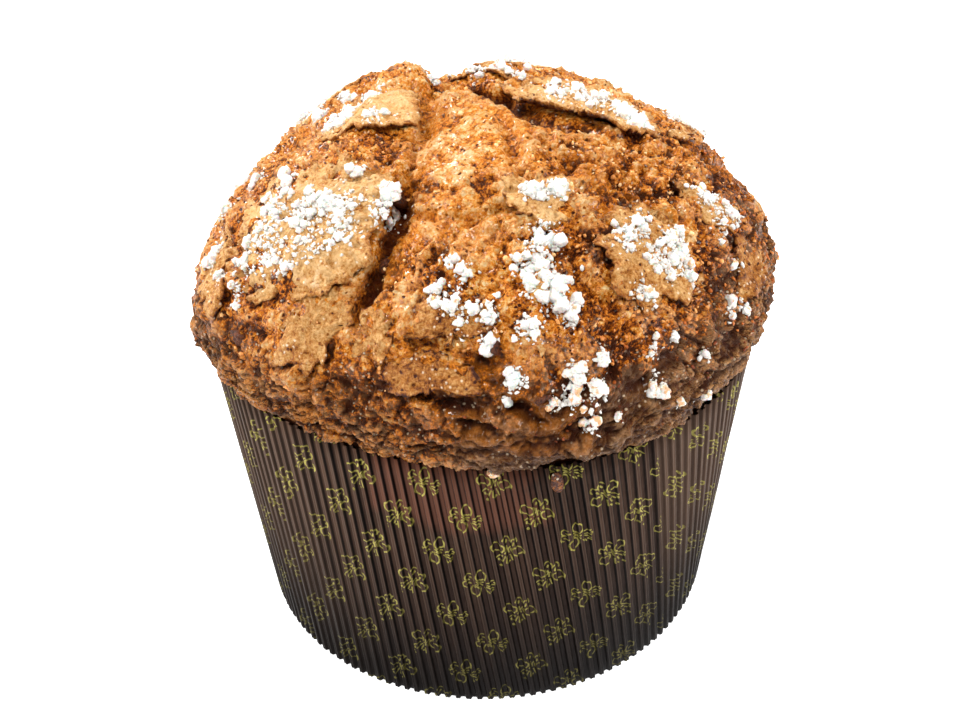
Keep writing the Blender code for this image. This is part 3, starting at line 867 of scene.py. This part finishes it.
def add_case(finish):
    """The case: a profile from the middle of the inside floor up to the rim and down to the middle of the
    underside, carried round 160 flutes that lean, with one glued seam where the strip's ends overlap. Its
    mesh carries each flute's turn from the seam and its shade, the painted shade of its folds and the
    painted glints along its ridges' edges."""
    rng = np.random.default_rng(14)
    flute = np.repeat(np.arange(FLUTES), len(FLUTE_PHASES))
    phase = np.tile(FLUTE_PHASES, FLUTES)
    flute = np.append(flute, FLUTES)
    phase = np.append(phase, FLUTE_PHASES[0])
    shift = np.append(rng.normal(0, 0.05, FLUTES), 0)[flute] * (1 - 2 * np.abs(phase))
    deep = np.append(rng.uniform(0.75, 1.05, FLUTES), 0.9)[flute]
    shade = np.append(rng.uniform(0, 1, FLUTES), 0.5)[flute]
    turn = (flute + phase + 0.5) / FLUTES * 2 * np.pi
    at_rim = SEAM_ANGLE + turn + shift * 2 * np.pi / FLUTES
    wave = flute_profile(phase, deep)
    # Painted shade down each flute's steep walls; on one side it is at full strength only near the front
    fold = np.exp(-(((np.abs(phase) - 0.25) / 0.085) ** 2))
    narrow = 0.4 + 0.6 * bump(turn + SEAM_ANGLE, math.radians(372), math.radians(24))
    fold = fold * np.where(phase > 0, narrow, 1.0)
    # Painted glint: a pale line along the edges of each ridge
    worn = np.exp(-(((np.abs(phase) - 0.37) / 0.04) ** 2))
    lap = np.where(flute == FLUTES, PAPER_SKIN, 0)

    def ring(z, inset, share=1.0):
        azimuth = at_rim + flute_drift(at_rim, z)
        return around((wall_radius(azimuth, z) + wave + lap - inset) * share, azimuth, z)

    turn_in = CASE_HEIGHT - 0.1 * MM
    rows = [ring(PAPER_SKIN, PAPER_SKIN, share) for share in (0.3, 0.7, 0.95)]
    rows += [ring(z, PAPER_SKIN) for z in np.linspace(2 * PAPER_SKIN, turn_in, 7)]
    rows += [ring(CASE_HEIGHT, PAPER_SKIN / 2)]
    rows += [ring(z, 0) for z in np.linspace(turn_in, 0.8 * MM, WALL_ROWS)]
    rows += [ring(0.25 * MM, 0.1 * MM), ring(0.0, 0.45 * MM)]
    rows += [ring(0.0, 0, share) for share in (0.95, 0.7, 0.3)]
    points = np.concatenate([np.concatenate(rows), [(0, 0, PAPER_SKIN), (0, 0, 0)]])
    quads, triangles = shell_faces(len(rows), len(flute))
    fields = {"turn": np.degrees(turn), "fold": fold, "worn": worn, "shade": shade}
    fields = {name: np.append(np.tile(values, len(rows)), [0, 0]) for name, values in fields.items()}
    add_piece("paper_case_wall", points, quads, triangles, finish, "case_paper", "paper_case", **fields)


# ------------ finishes
def crust_bump(finish, strength, cracks):
    """Fine relief of baked glaze: blisters, specks, rounded grit, pores and cracks. Also the three textures
    that colour follows: blisters, specks, and grit with its pores."""
    fleck = finish.noise(2.4 * MM, 5, 0.7, distortion=0.5)
    speck = finish.noise(0.7 * MM, 4, 0.7)
    grit = finish.cells(1.7 * MM, finish.warped(0.5 * MM)).ease(0.1, 0.75)
    pore = finish.cells(2.7 * MM, finish.warped(0.5 * MM)).ease(0.26, 0.1)
    height = (fleck * 2.2 + speck * 1.5 - grit * 0.55 - pore * 0.5 - cracks) * MM * strength
    return finish.relief(height), fleck, speck, grit + pore * 2.2


def crystals_and_glints(finish):
    """Specks of sugar melted into the glaze, painted pale so that they also stand for glints: the seeds of
    small cells, kept in patches.
    """
    return finish.cells(2.3 * MM).ease(0.24, 0.12) * finish.noise(10 * MM, 2, 0.5).ease(0.44, 0.56)


def crust_finish():
    """Baked crust: gold to dark brown by the mesh's own fields, mottled, cracked, pitted, shiny in spots,
    with painted shade in its crevices, cracks and deep hollows, and pale specks that are partly sugar and
    partly painted glints.
    """
    finish = Finish("baked_crust", IOR=1.45, Specular_IOR_Level=0.35, Specular_Tint=(1.0, 0.7, 0.42, 1.0),
                    Coat_Roughness=0.12, Coat_IOR=1.4)
    crevice, torn, low, flake = (finish.field(name) for name in ("crevice", "torn", "low", "flake"))
    lines = finish.noise(5.5 * MM, 5, 0.66, finish.stretch((1, 1, 2.2)), 0.6)
    cracks = abs(lines - 0.5).ease(0.035, 0.004) * (low * 0.85 + 0.15)
    normal, fleck, speck, grit = crust_bump(finish, 1.0, cracks * 1.2)
    blotch = finish.noise(11 * MM, 4, 0.6)
    veins = abs(finish.noise(5 * MM, 4, 0.6, distortion=1.2) - 0.5).ease(0.07, 0.0)
    brown = finish.field("browned") + (blotch - 0.5) * 0.8 + (fleck - 0.5) * 1.7 + (speck - 0.5) * 1.6
    # Crevices and cracks are darkened here as painted shade
    brown = brown + crevice * 0.5 + cracks * 0.5 + (grit - 0.5) * 0.34 + veins * 0.14
    brown = brown - torn * 0.1 - flake * 0.28
    baked = finish.ramp(brown, (0.0, 254, 218, 158), (0.2, 246, 184, 102), (0.4, 238, 148, 52),
                        (0.6, 212, 112, 26), (0.8, 132, 62, 12), (1.0, 60, 22, 3))
    skin = (flake + (fleck - 0.5) * 1.2 + (blotch - 0.5)).ease(0.0, 0.3)
    skin = skin * (1 - crevice) * (1 - grit * 0.6)
    baked = finish.blend(skin * 0.42, baked, tone(236, 186, 138))
    bare = finish.blend((fleck * 0.6 + speck * 0.4).ease(0.38, 0.6), tone(112, 50, 18), tone(230, 164, 98))
    colour = finish.blend(low * 0.75 * (1 - crevice) * (1 - cracks), baked, bare)
    colour = finish.blend(torn * 0.4 * (1 - crevice), colour, tone(232, 136, 44))
    # Pale specks: sugar crystals that also stand in as painted glints
    colour = finish.blend(crystals_and_glints(finish) * 0.6, colour, tone(252, 226, 190))
    # Painted shade: near-black brown where the tears are deepest and under the raised flap
    colour = finish.blend(finish.field("hollow") * 0.92, colour, tone(76, 28, 6))
    glaze = finish.noise(6 * MM, 4, 0.65).ease(0.4, 0.6)
    gloss = (glaze * 0.8 + torn * 0.3).at_most(1.0) * (1 - crevice * 0.8)
    wet = gloss * (1 - low) * 0.45
    return finish.wear(Base_Color=colour, Normal=normal, Roughness=0.52 - gloss * 0.34, Coat_Weight=wet)


def plate_finish():
    """Almond glaze: pale beige sheets, freckled, browner at their edges, with painted shade on their
    undersides, dusted white in patches, with pale specks that are partly sugar and partly painted glints.
    """
    finish = Finish("almond_glaze", IOR=1.45, Specular_IOR_Level=0.3)
    normal, fleck, speck, grit = crust_bump(finish, 0.6, 0.0)
    edge, browned = finish.field("edge"), finish.field("browned")
    blotch = finish.noise(9 * MM, 4, 0.6)
    brown = browned * 0.55 + 0.04 + (blotch - 0.5) * 0.8 + (fleck - 0.5) * 1.5
    brown = brown + (speck - 0.5) * 1.2 + (grit - 0.5) * 0.2
    # The edges are browner; the undersides are darkened as painted shade
    brown = brown + edge.ease(0.86, 1.0) * 0.3 + finish.field("under") * 0.45
    colour = finish.ramp(brown, (0.0, 230, 184, 126), (0.3, 208, 154, 90), (0.55, 180, 114, 50),
                         (0.8, 132, 72, 24), (1.0, 66, 28, 10))
    dust = (finish.noise(5 * MM, 5, 0.7) - browned * 0.16).ease(0.53, 0.66)
    colour = finish.blend(dust * 0.25, colour, tone(244, 230, 210))
    # Pale specks: sugar crystals that also stand in as painted glints
    colour = finish.blend(crystals_and_glints(finish) * 0.8, colour, tone(250, 234, 206))
    return finish.wear(Base_Color=colour, Normal=normal, Roughness=0.34 + dust * 0.3)


def crumb_finish():
    """Loose grains of the browned glaze, each with its own bake."""
    finish = Finish("browned_crumb", IOR=1.45, Specular_IOR_Level=0.4)
    speck = finish.noise(0.8 * MM, 2, 0.6)
    brown = finish.field("browned") * 0.85 + (speck - 0.5) * 0.5
    colour = finish.ramp(brown, (0.0, 252, 214, 156), (0.3, 230, 158, 88), (0.6, 186, 98, 36),
                         (0.85, 112, 50, 18), (1.0, 56, 22, 10))
    normal = finish.relief(speck * 0.2 * MM)
    return finish.wear(Base_Color=colour, Normal=normal, Roughness=0.4 + speck * 0.3)


def sugar_finish(name, powder):
    """Sugar: white and grainy. Nibs are faintly see-through, with a honey-coloured coat where toasted."""
    finish = Finish(name, IOR=1.5, Subsurface_Weight=0.0 if powder else 0.3, Subsurface_Scale=0.001)
    grainy = finish.noise(0.5 * MM, 3, 0.7)
    clumps = finish.cells(1.1 * MM)
    white = (grainy * 0.7 + clumps * 0.3).ease(0.2, 0.6)
    colour = finish.blend(white, tone(206, 196, 182), tone(240, 237, 231))
    if not powder:
        coat = (finish.noise(2.2 * MM, 3, 0.6) + finish.field("toast") * 0.4 - 0.64).ease(0.0, 0.14)
        colour = finish.blend(coat * 0.8, colour, tone(222, 152, 70))
    normal = finish.relief((grainy * 0.4 + clumps * 0.45) * MM)
    return finish.wear(Base_Color=colour, Normal=normal, Roughness=0.72 - grainy * 0.3)


def fruit_finish():
    """Raisin skin: almost black, wrinkled and glossy."""
    finish = Finish("raisin_skin", IOR=1.45, Specular_IOR_Level=0.3)
    wrinkle = finish.noise(1.4 * MM, 3, 0.6, distortion=1.5)
    colour = finish.blend(wrinkle.ease(0.35, 0.7), tone(48, 22, 10), tone(112, 60, 30))
    normal = finish.relief(wrinkle * 0.7 * MM)
    return finish.wear(Base_Color=colour, Normal=normal, Roughness=0.3 + wrinkle * 0.3)


# Turns are degrees round from the seam, as the case's mesh carries them
FRONT_TURN = 331.0
SOAKED_TURN = 318.0
MOTIF_START = 36.9  # columns of printed flowers are counted from this many degrees before the seam
MOTIF_TURN = 7.0  # degrees between columns
MOTIF_RISE = 29.2 * MM  # height between flowers in one column
MOTIF_TOP = 105 * MM  # height of the top row of flowers in front
MOTIF_CLIMB = 0.16 * MM  # how much higher the flowers stand with each degree of turn
ARC_PER_DEGREE = math.radians(88 * MM)  # along the wall, half-way up


def ring_line(x, y, middle_x, middle_y, half_x, half_y):
    """Distance, near enough, from an oval's outline."""
    share = ((x - middle_x) / half_x) ** 2.0 + ((y - middle_y) / half_y) ** 2.0
    return abs(share ** 0.5 - 1.0) * min(half_x, half_y)


def stroke_line(x, y, start, end):
    """Distance from a straight stroke between two points."""
    run, rise = end[0] - start[0], end[1] - start[1]
    part = ((x - start[0]) * run + (y - start[1]) * rise) / (run * run + rise * rise)
    part = part.at_least(0.0).at_most(1.0)
    return ((x - start[0] - part * run) ** 2.0 + (y - start[1] - part * rise) ** 2.0) ** 0.5


def flower_print(finish):
    """Line-drawn four-petalled flowers in staggered columns, 1 on the ink and 0 off it.

    The column is the nearest whole step of the flutes' own angle, and the row the nearest step of height,
    half a step lower in every second column. Each column's flowers are turned by their own random angle.
    """
    turn = finish.field("turn")
    column = (turn + MOTIF_START) / MOTIF_TURN
    number = column.whole()
    odd = number.remainder(2.0)
    row = (finish.height() - MOTIF_TOP - (turn - FRONT_TURN) * MOTIF_CLIMB) / MOTIF_RISE + odd * 0.5
    wobble = (finish.noise(2.5 * MM, 2, 0.5) - 0.5) * 0.4
    x = (column - number) * MOTIF_TURN * ARC_PER_DEGREE / MM + wobble
    y = (row - row.whole()) * MOTIF_RISE / MM * 0.86 + wobble
    chance = finish.add("ShaderNodeTexWhiteNoise", {"noise_dimensions": "1D"}, {"W": number * 7.31}, "Value")
    turned = chance * math.pi
    across = x * turned.cosine() + y * turned.sine()
    upward = y * turned.cosine() - x * turned.sine()
    wide, tall = abs(across), abs(upward)
    lines = [
        ring_line(across, tall, 0.3, 3.1, 1.5, 2.0),
        ring_line(across, tall, 3.5, 1.2, 1.35, 1.15) + (3.3 - across).at_least(0.0),
        stroke_line(across, tall, (2.5, 1.1), (3.3, 1.1)) - 0.08,
        stroke_line(across, tall, (-2.4, 0.3), (-4.6, 0.7)),
        stroke_line(across, tall, (-2.1, 1.2), (-3.9, 2.4)),
        stroke_line(across, tall, (-4.3, 1.6), (-4.7, 1.4)) - 0.08,
        stroke_line(wide, tall, (0.2, 0.2), (1.1, 0.6)),
        ((across + 6.6) ** 2.0 + (upward - 0.4) ** 2.0) ** 0.5 - 0.26,
    ]
    nearest = lines[0]
    for line in lines[1:]:
        nearest = nearest.at_most(line)
    worn = finish.noise(1.2 * MM, 3, 0.6).ease(0.3, 0.5)
    return nearest.ease(0.32, 0.12) * (worn * 0.6 + 0.4)


def paper_finish():
    """Dark brown greaseproof paper with its gold flowers: painted shade in the folds, streaked down the
    flutes, redder where butter has soaked in near the rim, with a painted sheen away from the front and
    painted glints on the ridges' edges, and darkest at the foot."""
    finish = Finish("case_paper", IOR=1.45, Specular_IOR_Level=0.06)
    fold, worn, shade, turn = (finish.field(name) for name in ("fold", "worn", "shade", "turn"))
    height = finish.height()
    fibres = finish.noise(0.8 * MM, 3, 0.6, finish.stretch((1, 1, 0.12)))
    blotch = finish.noise(22 * MM, 3, 0.55)
    mottle = (fibres * 0.4 + shade * 0.35 + blotch * 0.25).ease(0.25, 0.75)
    ridge = finish.blend(mottle, tone(50, 34, 26), tone(74, 54, 43))
    # Painted sheen: the paper turns paler away from the front, and its fold shade weakens there
    side_sheen = abs(turn - FRONT_TURN).ease(24.0, 60.0)
    ridge = finish.blend(side_sheen * 0.3, ridge, tone(104, 84, 70))
    # Painted glint on the ridges' edges
    ridge = finish.blend(worn * 0.3, ridge, tone(120, 100, 86))
    soaked = (abs(turn - SOAKED_TURN) + (blotch - 0.5) * 22.0).ease(21.0, 15.0)
    soaked = soaked * (height + (blotch - 0.5) * 14 * MM).ease(82 * MM, 88 * MM)
    ridge = finish.blend(soaked * 0.75, ridge, tone(96, 60, 46))
    foot = height.ease(100 * MM, 0.0) * 0.95
    # Painted shade in the folds, weaker on the sides; the paper also turns darker towards the bottom
    dark = finish.blend((fold * (1.25 - side_sheen * 0.6)).at_most(0.97).at_least(foot), ridge, tone(9, 3, 1))
    # The print is dimmed in the painted fold shade and towards the bottom
    ink = flower_print(finish) * (1 - fold * 0.7) * (1 - foot * 0.75)
    gold = finish.blend(fibres.ease(0.3, 0.7), tone(124, 114, 46), tone(176, 166, 88))
    colour = finish.blend(ink, dark, gold)
    normal = finish.relief(fibres * 0.12 * MM + ink * 0.02 * MM)
    return finish.wear(Base_Color=colour, Normal=normal, Roughness=0.62 - fibres * 0.2 - soaked * 0.12)


DRIP_AZIMUTH = math.radians(13)
DRIP_HEIGHT = 103.5 * MM
DRIP_REACH = np.array((2.0, 0.8, 4.4)) * MM  # half its width, depth and length
DRIP_BROWNED = 1.6


def add_drip(finish):
    """A drop of glaze run down one flute below the lip: a globe drawn out downwards over the wall."""
    ball = unit_globe(11, 18)
    wide, deep, tall = (ball * DRIP_REACH).T
    swell = 1 + grain(ball, 0.9, 7) * 0.2
    azimuth = DRIP_AZIMUTH + wide / RIM_RADIUS * swell
    z = DRIP_HEIGHT + tall
    radius = wall_radius(azimuth, z) + FLUTE_DEPTH / 2 - deep * swell
    points = around(radius, azimuth + flute_drift(azimuth, z), z)
    none = np.zeros(len(ball))
    add_piece("glaze_drip", points, *shell_faces(11, 18), finish, "crust",
              edge=none, under=none, browned=none + DRIP_BROWNED)


# ------------ stage, light and camera
FLOOR_REACH = 6
FLOOR_GLOW = 0.62
SKY_GLOW = 0.22
LENS = 51.7  # in mm, behind which the image is SENSOR_WIDTH wide
SENSOR_WIDTH = 36
CAMERA_AIM = (0.0002, 0.0, 0.0847)
CAMERA_DISTANCE = 0.5
CAMERA_ELEVATION = math.radians(35.81)
CAMERA_ROLL = math.radians(-1.45)
LIGHT_BASE = 0.1
LIGHTS = [  # azimuth and elevation in degrees, distance, width and height in metres, power in watts
    ("back_left", -140, 46, 1.1, 0.25, 0.25, 14),
    ("right", 80, 30, 1.0, 0.3, 0.5, 8),
    ("left", -75, 26, 1.1, 0.3, 0.5, 7),
    ("front_top", -5, 66, 1.2, 0.2, 0.2, 10),
]


def add_stage():
    """A plain white floor that glows a little, as a lit table does, and runs far back."""
    finish = Finish("floor", Roughness=0.9, Specular_IOR_Level=0.1, Base_Color=(0.92, 0.92, 0.92, 1),
                    Emission_Color=(1, 1, 1, 1), Emission_Strength=FLOOR_GLOW)
    corners = [(x * FLOOR_REACH, y * FLOOR_REACH, 0) for x, y in ((-1, -1), (1, -1), (1, 1), (-1, 1))]
    mesh = bpy.data.meshes.new("floor")
    mesh.from_pydata(corners, [], [(0, 1, 2, 3)])
    mesh.materials.append(finish.material)
    add_object("floor", mesh)


def add_light(name, azimuth, elevation, distance, width, height, power):
    """A square softbox that faces the loaf."""
    lamp = bpy.data.lights.new(name, "AREA")
    lamp.shape = "RECTANGLE"
    lamp.size, lamp.size_y = width, height
    lamp.energy = power
    light = add_object(name, lamp)
    azimuth, elevation = math.radians(azimuth), math.radians(elevation)
    reach, rise = distance * math.cos(elevation), distance * math.sin(elevation)
    light.location = (reach * math.sin(azimuth), -reach * math.cos(azimuth), LIGHT_BASE + rise)
    light.rotation_euler = (math.pi / 2 - elevation, 0, azimuth)


def add_camera():
    """The camera: in front of the loaf and above it, looking down on it, rolled a little."""
    lens = bpy.data.cameras.new("camera")
    lens.sensor_width = SENSOR_WIDTH
    lens.lens = LENS
    lens.clip_start = 0.01
    camera = add_object("camera", lens)
    x, y, z = CAMERA_AIM
    back, rise = CAMERA_DISTANCE * math.cos(CAMERA_ELEVATION), CAMERA_DISTANCE * math.sin(CAMERA_ELEVATION)
    camera.location = (x, y - back, z + rise)
    tilt = Euler((math.pi / 2 - CAMERA_ELEVATION, 0, 0)).to_matrix()
    camera.rotation_mode = "QUATERNION"
    camera.rotation_quaternion = (tilt @ Matrix.Rotation(CAMERA_ROLL, 3, "Z")).to_quaternion()
    bpy.context.scene.camera = camera


def add_world():
    """An even white sky, shown in plain screen colours."""
    world = bpy.data.worlds.new("studio")
    world.use_nodes = True
    sky = world.node_tree.nodes["Background"]
    sky.inputs["Color"].default_value = (1, 1, 1, 1)
    sky.inputs["Strength"].default_value = SKY_GLOW
    bpy.context.scene.world = world
    bpy.context.scene.view_settings.view_transform = "Standard"
    bpy.context.scene.view_settings.look = "None"


add_camera()
add_world()
add_stage()
for light in LIGHTS:
    add_light(*light)

add_loaf(crust_finish())
glaze = plate_finish()
add_plates(glaze)
add_drip(glaze)
add_sugar(sugar_finish("sugar", False), sugar_finish("sugar_dust", True))
add_crumbs(crumb_finish())
add_fruit(fruit_finish())
add_case(paper_finish())
